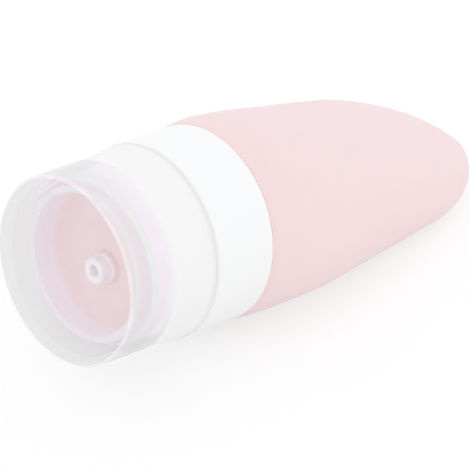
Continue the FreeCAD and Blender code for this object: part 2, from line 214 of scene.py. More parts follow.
class BottleSealSizes(bpy.types.PropertyGroup):
    """Flat silicone seals in the cap and under the spout's neck."""
    cap_inner: length("Inner radius", 18.5)
    cap_outer: length("Outer radius", 19.9)
    cap_front: length("Front", 21.65)
    cap_rear: length("Rear", 23.15)
    neck_inner: length("Inner radius", 17.3)
    neck_outer: length("Outer radius", 20.0)
    neck_front: length("Front", 24.75)
    neck_rear: length("Rear", 25.65)
    edge_round: length("Rounding of each edge", 0.25)
    tint: colour("Milky silicone", 0.8, 0.8, 0.81)


class BottleSpoutSizes(bpy.types.PropertyGroup):
    """Spout: neck, sunken floor, nozzle, flange and stem."""
    rim: length("Rim of the neck", 5.7)
    floor: length("Sunken floor", 12.0)
    floor_rear: length("Rear of the floor", 13.4)
    flange_front: length("Front of the flange", 23.2)
    flange_rear: length("Rear of the flange", 24.7)
    stem_end: length("Rear of the stem", 35.7)
    neck_radius: length("Outer radius of the neck", 17.4)
    neck_bore: length("Inner radius of the neck", 15.6)
    flange_radius: length("Outer radius of the flange", 20.0)
    stem_radius: length("Outer radius of the stem", 17.0)
    stem_bore: length("Inner radius of the stem", 15.2)
    rim_round: length("Rounding of the neck's rim", 0.4)
    dish_round: length("Rounding round the sunken floor", 2.5)
    nozzle_offset: length("Nozzle's place below the axis", 1.8)
    nozzle_side: length("Nozzle's place beside the axis", 1.0)
    nozzle_tip: length("Lip of the nozzle", 8.0)
    nozzle_radius: length("Outer radius of the nozzle", 2.9)
    nozzle_bore: length("Inner radius of the nozzle", 1.4)
    foot_radius: length("Outer radius of the nozzle's foot", 3.5)
    foot_height: length("Height of the nozzle's foot", 1.3)
    tint_floor: colour("Pink of the sunken floor", 0.885, 0.592, 0.627)
    # Painted see-through colour: the pink floor as it shows through the neck's wall.
    tint_band: colour("The pink floor seen through the neck's rim", 0.87, 0.54, 0.7)
    tint_wall: colour("Lavender white of the neck", 0.955, 0.835, 0.951)
    # Painted shade that greys the neck's rim.
    rim_painted_shade: colour("Greyer lavender of the neck's thin rim", 0.825, 0.745, 0.825)
    tint_nozzle: colour("Paler lavender of the nozzle", 0.985, 0.93, 0.985)
    tint_stem: colour("Milky white of the flange and the stem", 0.93, 0.92, 0.93)
    nozzle_cover: share("How much each wall of the nozzle hides", 0.85)


class BottleCapSizes(bpy.types.PropertyGroup):
    """Screw cap, clear to milky."""
    length: length("From the front face to the rear rim", 23.18)
    front_radius: length("Outer radius at the front", 20.8)
    flare_station: length("Where the rim starts to flare", 16.9)
    flare_radius: length("Outer radius where the flare starts", 21.3)
    rim_radius: length("Outer radius of the rear rim", 22.2)
    front_round: length("Rounding of the front edge", 0.6)
    rim_round: length("Rounding of the rear rim", 0.2)
    front_wall: length("Thickness of the front", 2.0)
    bore: length("Inner radius", 19.1)
    bore_round: length("Rounding where the front meets the wall", 0.6)
    seal_bore: length("Inner radius round the seal", 20.0)
    seat: length("Seat of the seal", 21.6)
    tint: colour("Greyish haze in the skin of the wall", 0.805, 0.838, 0.826)
    tint_middle: colour("Paler lavender haze around the neck", 0.93, 0.87, 0.94)
    tint_rear: colour("Milky white towards the rear rim", 0.935, 0.935, 0.935)
    # Painted shade: the rear rim greys towards the seam with the collar.
    rim_painted_shade: colour("Grey of the seal behind the rear rim", 0.86, 0.86, 0.865)
    # Painted highlight along the front edge.
    edge_painted_highlight: colour("White that the front edge catches", 0.97, 0.97, 0.975)
    haze_front: share("How much each face of the front hides", 0.25)
    haze_wall: share("How much the skin of the wall hides", 0.6)
    haze_rear: share("How much the rear of the wall hides", 0.92)
    haze_edge: share("How much the front edge hides", 0.55)
    # The screw ridge hides fully, so that its painted highlight shows.
    haze_ridge: share("How much the screw ridge hides", 1.0)
    haze_start: length("Where the wall starts to turn milky", 11.0)
    haze_full: length("Where the wall is fully milky", 12.8)


class BottleStageSettings(bpy.types.PropertyGroup):
    """Floor, light and camera."""
    world_light: amount("Level of the soft light from all sides", 0.99)
    key_power: amount("Power of the soft lamp in watts", 0.4)
    key_size: length("Side of the soft lamp", 900.0)
    key_place: vector("Where the soft lamp hangs", -0.5, -0.35, 1.1)
    floor_size: length("Side of the floor", 6000.0)
    floor_tint: colour("White floor", 0.95, 0.95, 0.95)
    floor_glow: share("White that the floor shows to the camera", 0.63)
    floor_share: share("How much of the shadow the camera sees", 0.4)
    camera_place: vector("Where the camera stands", -0.226118, -0.213628, 0.262883)
    camera_heading: vector("Where the camera looks", 0.550767, 0.54295, -0.633921)
    camera_lens: amount("Focal length in millimetres", 130.21)
    points_round: IntProperty(description="Points round each turned piece", default=192, min=24)


def new_object(name, data):
    """An object for a mesh, a lamp or a camera, in the scene."""
    made = bpy.data.objects.new(name, data)
    bpy.context.scene.collection.objects.link(made)
    return made


def skin(name, rings, closed):
    """A closed mesh through rings of points, where a ring of one point is a pole."""
    points = []
    starts = []
    for ring in rings:
        starts.append(len(points))
        points.extend(ring)
    faces = []
    for place in range(len(rings) if closed else len(rings) - 1):
        after = (place + 1) % len(rings)
        count = max(len(rings[place]), len(rings[after]))
        for step in range(count):
            following = (step + 1) % count
            corners = ((place, step), (place, following), (after, following), (after, step))
            numbers = (starts[ring] + offset % len(rings[ring]) for ring, offset in corners)
            faces.append(list(dict.fromkeys(numbers)))
    mesh = bpy.data.meshes.new(name)
    mesh.from_pydata(points, [], faces)
    shape = bmesh.new()
    shape.from_mesh(mesh)
    bmesh.ops.recalc_face_normals(shape, faces=shape.faces)
    shape.to_mesh(mesh)
    shape.free()
    mesh.shade_smooth()
    return new_object(name, mesh)


def fillet(before, corner, after, rounding):
    """Points round a corner, with one close beside each end to keep the shading flat there."""
    back = (before - corner).normalized()
    ahead = (after - corner).normalized()
    half = back.angle(ahead) / 2
    reach = rounding / math.tan(half)
    centre = corner + (back + ahead).normalized() * (rounding / math.sin(half))
    start = corner + back * reach - centre
    end = corner + ahead * reach - centre
    turn = math.pi - 2 * half
    points = [corner + back * (reach + FILLET_GUARD)]
    for step in range(FILLET_STEPS + 1):
        part = step / FILLET_STEPS
        arm = start * math.sin((1 - part) * turn) + end * math.sin(part * turn)
        points.append(centre + arm / math.sin(turn))
    points.append(corner + ahead * (reach + FILLET_GUARD))
    return points


def rounded_outline(corners):
    """Points of a closed outline of (radius, station, rounding) corners, rounded by a hair if not told."""
    places = [Vector(corner[:2]) for corner in corners]
    points = []
    for number, corner in enumerate(corners):
        rounding = corner[2] if len(corner) > 2 else HAIR_ROUND
        if rounding:
            following = places[(number + 1) % len(places)]
            points.extend(fillet(places[number - 1], places[number], following, rounding))
        else:
            points.append(places[number])
    return points


def closer_points(points, wall):
    """The closed outline with closer points along its run at one radius, for a thread."""
    finer = []
    for number, point in enumerate(points):
        finer.append(point)
        following = points[(number + 1) % len(points)]
        on_wall = abs(point.x - wall) < NEAR and abs(following.x - wall) < NEAR
        parts = math.ceil((following - point).length / THREAD_STEP) if on_wall else 1
        finer.extend(point.lerp(following, part / parts) for part in range(1, parts))
    return finer


def circle(radius, station, middle=(0.0, 0.0)):
    """A ring of points round a middle, or a pole where the radius is nothing."""
    x, y = middle
    if radius < NEAR:
        return [Vector((x, y, station))]
    count = bpy.context.scene.bottle_stage.points_round
    turns = (2 * math.pi * step / count for step in range(count))
    return [Vector((x + radius * math.cos(turn), y + radius * math.sin(turn), station)) for turn in turns]


def lathe(name, points, middle=(0.0, 0.0)):
    """Turn a closed outline round the axis, or round a line beside it."""
    rings = [circle(point.x, point.y, middle) for point in points]
    return skin(name, rings, closed=len(rings[0]) > 1 or len(rings[-1]) > 1)


class NodeTree:
    """Short ways to add and join nodes in a tree."""

    def __init__(self, tree):
        self.tree = tree

    def add(self, kind, inputs=None, **settings):
        """A node with its settings and its inputs, each a value or another node's output."""
        node = self.tree.nodes.new(kind)
        for name, setting in settings.items():
            setattr(node, name, setting)
        for name, entry in (inputs or {}).items():
            self.feed(node.inputs[name], entry)
        return node

    def feed(self, socket, entry):
        """Set a socket to a value, or link it to an output."""
        if isinstance(entry, bpy.types.NodeSocket):
            self.tree.links.new(entry, socket)
        else:
            socket.default_value = entry

    def math(self, operation, *entries):
        """The result of a Math node."""
        return self.add("ShaderNodeMath", dict(enumerate(entries)), operation=operation).outputs[0]

    def both(self, first, second):
        """The share where two shares meet."""
        return self.math("MULTIPLY", first, second)

    def either(self, first, second):
        """The larger of two shares."""
        return self.math("MAXIMUM", first, second)

    def vector(self, operation, *entries):
        """The result of a Vector Math node."""
        node = self.add("ShaderNodeVectorMath", dict(enumerate(entries)), operation=operation)
        return node.outputs["Value" if operation == "LENGTH" else "Vector"]

    def flat(self, place):
        """The part of a place across the local Z axis."""
        return self.vector("MULTIPLY", place, (1.0, 1.0, 0.0))

    def fade(self, entry, low, high, start, end, smooth=True):
        """Map a value from one span to another, with eased ends."""
        kind = "SMOOTHSTEP" if smooth else "LINEAR"
        spans = {"Value": entry, "From Min": low, "From Max": high, "To Min": start, "To Max": end}
        return self.add("ShaderNodeMapRange", spans, interpolation_type=kind).outputs["Result"]

    def rise(self, entry, low, high):
        """Nothing before a span and one after it."""
        return self.fade(entry, low, high, 0.0, 1.0)

    def fall(self, entry, low, high):
        """One before a span and nothing after it."""
        return self.fade(entry, low, high, 1.0, 0.0)

    def between(self, part, start, end):
        """A value going straight over into another one by a share."""
        return self.fade(part, 0.0, 1.0, start, end, smooth=False)


THREAD_SIZES = ("Wall Radius", "Depth", "Lead", "First Station", "Turns", "Crest Width", "Flank Width",
                "Run-out")
THREAD_SOCKETS = {
    "Geometry": "NodeSocketGeometry",
    **dict.fromkeys(THREAD_SIZES, "NodeSocketFloat"),
    "Material": "NodeSocketMaterial",
}


def screw_thread_tree():
    """Geometry nodes that raise a right-hand thread on a round wall, out or in by a depth."""
    group = bpy.data.node_groups.get("Screw Thread")
    if group:
        return group
    group = bpy.data.node_groups.new("Screw Thread", "GeometryNodeTree")
    for name, kind in THREAD_SOCKETS.items():
        group.interface.new_socket(name, in_out="INPUT", socket_type=kind)
    group.interface.new_socket("Geometry", in_out="OUTPUT", socket_type="NodeSocketGeometry")
    tree = NodeTree(group)
    given = tree.add("NodeGroupInput").outputs
    first, lead, run_out = given["First Station"], given["Lead"], given["Run-out"]
    place = tree.add("GeometryNodeInputPosition").outputs["Position"]
    split = tree.add("ShaderNodeSeparateXYZ", {"Vector": place}).outputs
    out_from_axis = tree.flat(place)
    part = tree.math("DIVIDE", tree.math("ARCTAN2", split["Y"], split["X"]), 2 * math.pi)
    climbed = tree.math("DIVIDE", tree.math("SUBTRACT", split["Z"], first), lead)
    turn = tree.math("ADD", tree.math("ROUND", tree.math("SUBTRACT", climbed, part)), part)
    ridge_place = tree.math("MULTIPLY_ADD", turn, lead, first)
    away = tree.math("ABSOLUTE", tree.math("SUBTRACT", split["Z"], ridge_place))
    crest_edge = tree.math("MULTIPLY", given["Crest Width"], 0.5)
    ridge = tree.fall(away, crest_edge, tree.math("ADD", crest_edge, given["Flank Width"]))
    start = tree.rise(turn, 0.0, run_out)
    end = tree.rise(tree.math("SUBTRACT", given["Turns"], turn), 0.0, run_out)
    height = tree.both(tree.both(ridge, start), tree.both(end, given["Depth"]))
    shift = tree.add("ShaderNodeVectorMath", {0: tree.vector("NORMALIZE", out_from_axis), "Scale": height},
                     operation="SCALE").outputs["Vector"]
    on_wall = tree.math("COMPARE", tree.vector("LENGTH", out_from_axis), given["Wall Radius"], WALL_PLAY)
    moved = tree.add("GeometryNodeSetPosition",
                     {"Geometry": given["Geometry"], "Selection": on_wall, "Offset": shift})
    smooth = tree.add("GeometryNodeSetShadeSmooth", {0: moved.outputs[0]})
    realised = tree.add("GeometryNodeRealizeInstances", {0: smooth.outputs[0]})
    dressed = tree.add("GeometryNodeSetMaterial", {0: realised.outputs[0], "Material": given["Material"]})
    tree.add("NodeGroupOutput", {0: dressed.outputs[0]})
    return group


def cut_thread(piece, material, wall, name, way=1):
    """Raise a thread on a piece's round wall, out or in, and keep it as the plain mesh."""
    sizes = bpy.context.scene.bottle_thread
    depth, turns = getattr(sizes, name + "_depth"), getattr(sizes, name + "_turns")
    # The groove is wider and starts a turn before the stem's ridge.
    first = getattr(sizes, name + "_first", sizes.stem_first - sizes.lead)
    crest = sizes.crest + getattr(sizes, name + "_play", 0.0)
    values = (wall, way * depth, sizes.lead, first, turns, crest, sizes.flank, sizes.run_out)
    values = {**dict(zip(THREAD_SIZES, values)), "Material": material}
    group = screw_thread_tree()
    modifier = piece.modifiers.new("Screw Thread", "NODES")
    modifier.node_group = group
    for item in group.interface.items_tree:
        if item.name in values and item.in_out == "INPUT":
            modifier[item.identifier] = values[item.name]
    keep_evaluated(piece)


def keep_evaluated(piece):
    """Replace a piece's mesh by its evaluated one and drop its modifiers."""
    graph = bpy.context.evaluated_depsgraph_get()
    graph.update()
    mesh = bpy.data.meshes.new_from_object(piece.evaluated_get(graph), depsgraph=graph)
    before = piece.data
    piece.modifiers.clear()
    piece.data = mesh
    mesh.name = piece.name
    bpy.data.meshes.remove(before)


def combine(piece, other, operation):
    """Join or cut a piece by another one, which is then removed."""
    modifier = piece.modifiers.new(operation.title(), "BOOLEAN")
    modifier.operation = operation
    modifier.solver = "EXACT"
    modifier.object = other
    keep_evaluated(piece)
    bpy.data.meshes.remove(other.data)


def settle(piece, node, material):
    """Move a finished piece into the packed frame and let it stand for its node."""
    piece.data.transform(TO_FRAME)
    piece.data.update()
    piece.data.materials.clear()
    piece.data.materials.append(material)
    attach(piece, BODY_OF[node])
    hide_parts(node)


def shade(tint, factor):
    """A colour made lighter or darker."""
    return tuple(min(1.0, part * factor) for part in tint)


def beside(place, low, high):
    """A span beside a place, given in millimetres."""
    return place + low * MM, place + high * MM


class Surface(NodeTree):
    """A piece's material, painted by place along and out from the bottle's own axis."""

    def __init__(self, name, tint, ior):
        self.material = bpy.data.materials.new(name)
        self.material.use_nodes = True
        super().__init__(self.material.node_tree)
        self.shader = self.tree.nodes["Principled BSDF"]
        self.give("IOR", ior)
        inverse = TO_FRAME.inverted()
        turned = {"Vector": self.add("ShaderNodeTexCoord").outputs["Object"],
                  "Location": inverse.translation, "Rotation": inverse.to_euler()}
        self.own = self.add("ShaderNodeMapping", turned, vector_type="POINT").outputs["Vector"]
        split = self.add("ShaderNodeSeparateXYZ", {"Vector": self.own}).outputs
        self.height, self.station = split["Y"], split["Z"]
        self.radius = self.vector("LENGTH", self.flat(self.own))
        self.ground = tint

    def give(self, name, entry):
        """Set or link one of the shader's own sockets."""
        self.feed(self.shader.inputs[name], entry)

    def noise(self, scale, detail=3.0):
        """A soft noise whose middle is one half."""
        inputs = {"Vector": self.own, "Scale": scale, "Detail": detail, "Roughness": 0.55}
        return self.add("ShaderNodeTexNoise", inputs).outputs["Fac"]

    def paint(self, part, tint):
        """Let the ground colour go over into another one by a share."""
        node = self.add("ShaderNodeMix", {"Factor": part}, data_type="RGBA")
        for name, entry in (("A", self.ground), ("B", tint)):
            socket = next(item for item in node.inputs if item.name == name and item.type == "RGBA")
            self.feed(socket, entry if isinstance(entry, bpy.types.NodeSocket) else (*entry, 1.0))
        self.ground = next(item for item in node.outputs if item.type == "RGBA")

    def cloud(self, scale, most, tint):
        """Cloud the ground colour faintly and hand it to the shader."""
        self.paint(self.fade(self.noise(scale), *CLOUD_SPAN, 0.0, most), tint)
        self.give("Base Color", self.ground)

    def roughen(self, scale, low, high):
        """Let the gloss change a little from place to place."""
        self.give("Roughness", self.fade(self.noise(scale), *ROUGH_SPAN, low, high))

    def grain(self, scale, detail, strength, distance):
        """Give the surface its fine relief."""
        inputs = {"Height": self.noise(scale, detail), "Strength": strength, "Distance": distance}
        self.give("Normal", self.add("ShaderNodeBump", inputs).outputs["Normal"])

    def scatter(self, weight, radius, scale):
        """Let light spread under the surface."""
        for name, entry in (("Weight", weight), ("Radius", radius), ("Scale", scale)):
            self.give("Subsurface " + name, entry)

    def hide(self, haze, thin):
        """Hide what lies behind by a haze, which hands on most of the light where it is thin."""
        path = self.add("ShaderNodeLightPath").outputs
        lighting = self.either(path["Is Shadow Ray"], path["Is Diffuse Ray"])
        shadow = self.between(self.both(lighting, thin), 1.0, HAZE_SHADOW)
        self.give("Alpha", self.both(haze, shadow))


def pink_silicone(sizes):
    """Soft satin silicone: faint clouding, a deeper pink by the collar and a fine moulded grain."""
    look = Surface("Pink silicone", sizes.tint, ior=1.41)
    look.paint(look.fall(look.station, *beside(sizes.root, 0.0, 20.0)), sizes.tint_root)
    look.cloud(scale=55.0, most=0.22, tint=shade(sizes.tint, 0.965))
    look.roughen(scale=380.0, low=0.44, high=0.58)
    look.grain(scale=2600.0, detail=2.0, strength=0.12, distance=0.05 * MM)
    look.scatter(weight=0.12, radius=(1.0, 0.45, 0.4), scale=2.0 * MM)
    look.give("Sheen Weight", 0.08)
    look.give("Sheen Roughness", 0.4)
    return look.material


def white_plastic(sizes):
    """Smooth white moulding: cool above, a painted lavender cast below, painted shade at the seam, faintly
    dimpled.
    """
    look = Surface("White collar plastic", sizes.tint, ior=1.49)
    # Painted lavender cast over the lower half.
    look.paint(look.fall(look.height, -sizes.rear_radius, 0.0), sizes.lower_painted_cast)
    # Painted shade: the collar's front greys along the seam with the cap.
    look.paint(look.fall(look.station, *beside(sizes.front, 0.0, 1.3)), sizes.seam_painted_shade)
    look.cloud(scale=90.0, most=0.3, tint=shade(sizes.tint, 0.975))
    look.roughen(scale=420.0, low=0.34, high=0.44)
    look.grain(scale=150.0, detail=1.0, strength=0.02, distance=0.02 * MM)
    return look.material


def milky_plastic(name, tint, rough, scale):
    """Milky moulded plastic or silicone with faint clouding and a fine grain."""
    look = Surface(name, tint, ior=1.45)
    look.cloud(scale, most=1.0, tint=shade(tint, 0.95))
    look.roughen(scale * 4, low=rough, high=rough + 0.12)
    look.grain(scale=1500.0, detail=2.0, strength=0.08, distance=0.04 * MM)
    look.scatter(weight=0.15, radius=(1.0, 0.9, 0.9), scale=1.5 * MM)
    return look.material


def spout_plastic(sizes):
    """Milky plastic: pink on the sunken floor, lavender on the neck and the nozzle, white below, with painted
    shade on the neck's rim and a painted see-through pink beside it.
    """
    look = Surface("Milky spout plastic", sizes.tint_wall, ior=1.49)
    station, radius = look.station, look.radius
    down_wall = look.rise(station, sizes.floor - sizes.dish_round, sizes.floor - 0.2 * MM)
    inside = look.fall(radius, sizes.neck_bore + 0.4 * MM, sizes.neck_radius - 0.4 * MM)
    look.paint(look.both(down_wall, inside), sizes.tint_floor)
    # Painted shade on the neck's rim.
    look.paint(look.fall(station, *beside(sizes.rim, 0.2, 0.8)), sizes.rim_painted_shade)
    # Painted see-through colour: a pink band outside the neck by its rim, where the floor shows through.
    outside = look.rise(radius, *beside(sizes.neck_radius, -0.4, -0.1))
    by_rim = look.fall(station, *beside(sizes.rim, 2.5, 4.0))
    look.paint(look.both(outside, by_rim), sizes.tint_band)
    look.paint(look.rise(station, *beside(sizes.floor_rear, 0.0, 2.0)), sizes.tint_stem)
    shifted = look.vector("ADD", look.own, (sizes.nozzle_side, sizes.nozzle_offset, 0.0))
    from_nozzle = look.vector("LENGTH", look.flat(shifted))
    on_nozzle = look.fall(from_nozzle, *beside(sizes.nozzle_radius, 0.1, 0.5))
    look.paint(on_nozzle, sizes.tint_nozzle)
    above_floor = look.fall(station, *beside(sizes.floor, -0.6, -0.2))
    thin = look.both(on_nozzle, above_floor)
    look.hide(look.between(thin, 1.0, sizes.nozzle_cover), thin)
    look.cloud(scale=120.0, most=0.25, tint=shade(sizes.tint_wall, 0.99))
    look.roughen(scale=500.0, low=0.34, high=0.46)
    look.grain(scale=200.0, detail=1.0, strength=0.02, distance=0.03 * MM)
    return look.material


def cap_plastic(sizes):
    """Clear to milky moulding: a faintly hazy front with a painted highlight on its edge, a greyish wall whose
    screw ridge is painted white as a highlight, a milky rear and painted shade on the rear rim.
    """
    look = Surface("Clear cap plastic", sizes.tint, ior=1.49)
    station, radius = look.station, look.radius
    rear = look.rise(station, sizes.haze_start, sizes.haze_full)
    on_skin = look.rise(radius, sizes.bore + 0.8 * MM, sizes.front_radius - 0.3 * MM)
    # Painted highlight: the front edge is whiter and hides more.
    edge_highlight_mask = look.both(look.rise(radius, *beside(sizes.front_radius, -0.8, -0.5)),
                        look.fall(station, *beside(0.0, 0.3, 0.7)))
    # Painted highlight: the screw ridge inside the wall is whitened and opaque, standing for the thread's white
    # streaks.
    ridge_highlight_mask = look.both(look.fall(radius, *beside(sizes.bore, -0.9, -0.2)),
                         look.rise(station, *beside(sizes.front_wall, 1.0, 2.0)))
    # Painted shade on the rear rim, where it meets the collar.
    rim_shade_mask = look.both(look.rise(station, *beside(sizes.length, -1.6, 0.0)),
                       look.rise(radius, *beside(sizes.rim_radius, -0.8, -0.4)))
    look.paint(look.rise(station, *beside(sizes.haze_start, -5.0, -2.0)), sizes.tint_middle)
    # The rear is milky white; the screw ridge gets the same white as a painted highlight.
    look.paint(look.either(rear, ridge_highlight_mask), sizes.tint_rear)
    look.paint(edge_highlight_mask, sizes.edge_painted_highlight)
    look.paint(rim_shade_mask, sizes.rim_painted_shade)
    look.cloud(scale=70.0, most=0.2, tint=shade(sizes.tint_rear, 0.95))
    haze = look.between(rear, sizes.haze_wall, sizes.haze_rear)
    haze = look.between(look.either(on_skin, rear), sizes.haze_front, haze)
    haze = look.between(ridge_highlight_mask, haze, sizes.haze_ridge)
    haze = look.between(edge_highlight_mask, haze, sizes.haze_edge)
    look.hide(haze, 1.0)
    look.roughen(scale=260.0, low=0.29, high=0.35)
    return look.material


def eased(stations, values, slopes, station):
    """A smooth curve through values at stations, with the given slopes there."""
    for place in range(len(stations) - 1):
        if station <= stations[place + 1]:
            span = stations[place + 1] - stations[place]
            part = (station - stations[place]) / span
            rest = 1 - part
            ends = rest ** 2 * (1 + 2 * part) * values[place] + part ** 2 * (3 - 2 * part) * values[place + 1]
            return ends + span * part * rest * (rest * slopes[place] - part * slopes[place + 1])
    return values[-1] + slopes[-1] * (station - stations[-1])


def body_section(sizes, station, wall, end):
    """Half width, half depth and side radius of the body's outside, or of its cavity, at a station."""
    root = sizes.root
    width_fall = (sizes.belly_width - sizes.tail_width) / (sizes.length - sizes.belly)
    depth_fall = (sizes.shoulder_depth - sizes.tail_depth) / (sizes.length - sizes.shoulder)
    widths = (sizes.root_radius, sizes.swell_width, sizes.shoulder_width, sizes.belly_width)
    depths = (sizes.root_radius, sizes.swell_depth, sizes.shoulder_depth)
    stations = (root, root + sizes.swell, root + sizes.shoulder, root + sizes.belly)
    half_width = eased(stations, widths, (*WIDTH_SLOPES, -width_fall), station) - wall
    half_depth = eased(stations[:3], depths, (*DEPTH_SLOPES, -depth_fall), station) - wall
    into_tail = max(0.0, 1 - (end - station) / (sizes.tail_round - wall))
    into_tip = max(0.0, 1 - (end - station) / (sizes.tip_round - wall))
    half_width *= math.sqrt(max(0.0, 1 - into_tail ** 2))
    half_depth *= math.sqrt(max(0.0, 1 - into_tip ** 2))
    easing = SIDE_EASING * min(1.0, max(0.0, (station - root) / sizes.shoulder))
    return half_width, half_depth, (1 - easing) * min(half_depth, half_width)


def oval(sizes, station, wall, end):
    """A ring of points on the four-arc oval at a station, spaced evenly along it."""
    half_width, half_depth, side = body_section(sizes, station, wall, end)
    quarter = bpy.context.scene.bottle_stage.points_round // 4
    tall = half_depth > half_width
    long_half, short_half = (half_depth, half_width) if tall else (half_width, half_depth)
    if long_half - short_half < ROUND_ENOUGH:
        side = crown = short_half
        side_reach, crown_drop, joint = 0.0, 0.0, math.pi / 4
    else:
        side_reach = long_half - side
        crown = (side_reach ** 2 + short_half ** 2 - side ** 2) / (2 * (short_half - side))
        crown_drop = crown - short_half
        joint = math.atan2(crown_drop, side_reach)
    side_length = side * joint
    whole = side_length + crown * (math.pi / 2 - joint)
    corner = []
    for step in range(quarter + 1):
        run = whole * step / quarter
        if run <= side_length:
            turn = run / side if side else 0.0
            corner.append((side_reach + side * math.cos(turn), side * math.sin(turn)))
        else:
            turn = joint + (run - side_length) / crown
            corner.append((crown * math.cos(turn), crown * math.sin(turn) - crown_drop))
    if tall:
        corner = [(y, x) for x, y in reversed(corner)]
    points = corner[:-1]
    points += [(-x, y) for x, y in reversed(corner[1:])]
    points += [(-x, -y) for x, y in corner[:-1]]
    points += [(x, -y) for x, y in reversed(corner[1:])]
    return [Vector((x, y, station)) for x, y in points]


def tail_stations(first, start, end, step, count):
    """Stations from a first one to the tail's end, closer together where the tail rounds off."""
    parts = math.ceil((start - first) / step)
    stations = [first + (start - first) * part / parts for part in range(parts)]
    stations += [start + (end - start) * math.sin(math.pi / 2 * part / count) for part in range(count)]
    return stations


class BOTTLE_OT_silicone_body(bpy.types.Operator):
    """Build the soft silicone body with its cavity, beaded mouth and flat underside"""
    bl_idname = "bottle.silicone_body"
    bl_label = "Silicone body"

    def execute(self, context):
        sizes = context.scene.bottle_body
        end = sizes.root + sizes.length
        cavity_end = end - sizes.tail_wall
        cavity_root = sizes.root + sizes.wall
        inner_radius = sizes.root_radius - sizes.wall
        inner = tail_stations(cavity_root + CAVITY_START, cavity_end - sizes.tail_round + sizes.wall,
                              cavity_end, CAVITY_STEP, CAVITY_TAIL_RINGS)
        outer = tail_stations(sizes.root + BODY_START, end - sizes.tail_round,
                              end, BODY_STEP, BODY_TAIL_RINGS)
        mouth = [
            (inner_radius, cavity_root, MOUTH_ROUND),
            (sizes.mouth_bore, cavity_root, MOUTH_ROUND),
            (sizes.mouth_bore, sizes.mouth_front, MOUTH_EDGE_ROUND),
            (sizes.bead_outer, sizes.mouth_front, BEAD_ROUND),
            (sizes.bead_outer, sizes.bead_rear, SOFT_ROUND),
            (sizes.mouth_outer, sizes.bead_rear, SMALL_ROUND),
            (sizes.mouth_outer, sizes.root, SMALL_ROUND),
            (sizes.root_radius, sizes.root, sizes.root_round),
        ]
        places = [Vector((inner_radius, inner[0]))]
        places += [Vector(corner[:2]) for corner in mouth]
        places.append(Vector((sizes.root_radius, outer[0])))
        rings = [[Vector((0.0, 0.0, cavity_end))]]
        rings += [oval(sizes, station, sizes.wall, cavity_end) for station in reversed(inner)]
        for number, corner in enumerate(mouth, start=1):
            turned = fillet(*places[number - 1:number + 2], corner[2])
            rings += [circle(point.x, point.y) for point in turned]
        rings += [oval(sizes, station, 0.0, end) for station in outer]
        rings.append([Vector((0.0, 0.0, end))])
        piece = skin("soft_body", rings, closed=False)
        settle(piece, "silicone_body", pink_silicone(sizes))
        for vertex in piece.data.vertices:
            vertex.co.z = self.settled(vertex.co.z, sizes.settle)
        piece.data.update()
        return {"FINISHED"}

    @staticmethod
    def settled(height, ease):
        """The height of the soft wall, eased near the surface on which it lies."""
        if height >= ease:
            return height
        return (height + ease) ** 2 / (4 * ease) if height > -ease else 0.0


class BOTTLE_OT_thread_insert(bpy.types.Operator):
    """Build the threaded insert inside the silicone mouth"""
    bl_idname = "bottle.thread_insert"
    bl_label = "Threaded insert"

    def execute(self, context):
        sizes = context.scene.bottle_insert
        outline = rounded_outline([
            (sizes.bore, sizes.front, 0.0),
            (sizes.flange, sizes.front),
            (sizes.flange, sizes.flange_rear),
            (sizes.outer, sizes.flange_rear),
            (sizes.outer, sizes.rear - sizes.lead_in),
            (sizes.outer - sizes.lead_in, sizes.rear),
            (sizes.bore, sizes.rear),
        ])
        piece = lathe("threaded_insert", closer_points(outline, sizes.bore))
        material = milky_plastic("Natural insert plastic", sizes.tint, rough=0.36, scale=110.0)
        cut_thread(piece, material, sizes.bore, "groove")
        settle(piece, "thread_insert", material)
        return {"FINISHED"}


class BOTTLE_OT_collar(bpy.types.Operator):
    """Build the white collar"""
    bl_idname = "bottle.collar"
    bl_label = "Collar"

    def execute(self, context):
        sizes = context.scene.bottle_collar
        outline = rounded_outline([
            (sizes.seat_radius, sizes.front, SMALL_ROUND),
            (sizes.front_radius, sizes.front, sizes.front_round),
            (sizes.rear_radius, sizes.rear, sizes.rear_round),
            (sizes.bore, sizes.rear, SMALL_ROUND),
            (sizes.bore, sizes.groove_rear),
            (sizes.groove_radius, sizes.groove_rear),
            (sizes.groove_radius, sizes.lip_rear),
            (sizes.lip_bore, sizes.lip_rear),
            (sizes.lip_bore, sizes.seat_rear),
            (sizes.seat_radius, sizes.seat_rear),
        ])
        settle(lathe("white_collar", outline), "collar", white_plastic(sizes))
        return {"FINISHED"}


class BOTTLE_OT_seals(bpy.types.Operator):
    """Build the two flat seals"""
    bl_idname = "bottle.seals"
    bl_label = "Seals"

    def execute(self, context):
        sizes = context.scene.bottle_seals
        material = milky_plastic("Milky seal silicone", sizes.tint, rough=0.45, scale=150.0)
        for name, node, place in (("flat_neck_seal", "neck_seal", "neck"),
                                  ("flat_cap_seal", "cap_seal", "cap")):
            inner, outer, front, rear = (getattr(sizes, place + side)
                                         for side in ("_inner", "_outer", "_front", "_rear"))
            corners = [(inner, front), (outer, front), (outer, rear), (inner, rear)]
            outline = rounded_outline([(*corner, sizes.edge_round) for corner in corners])
            settle(lathe(name, outline), node, material)
        return {"FINISHED"}


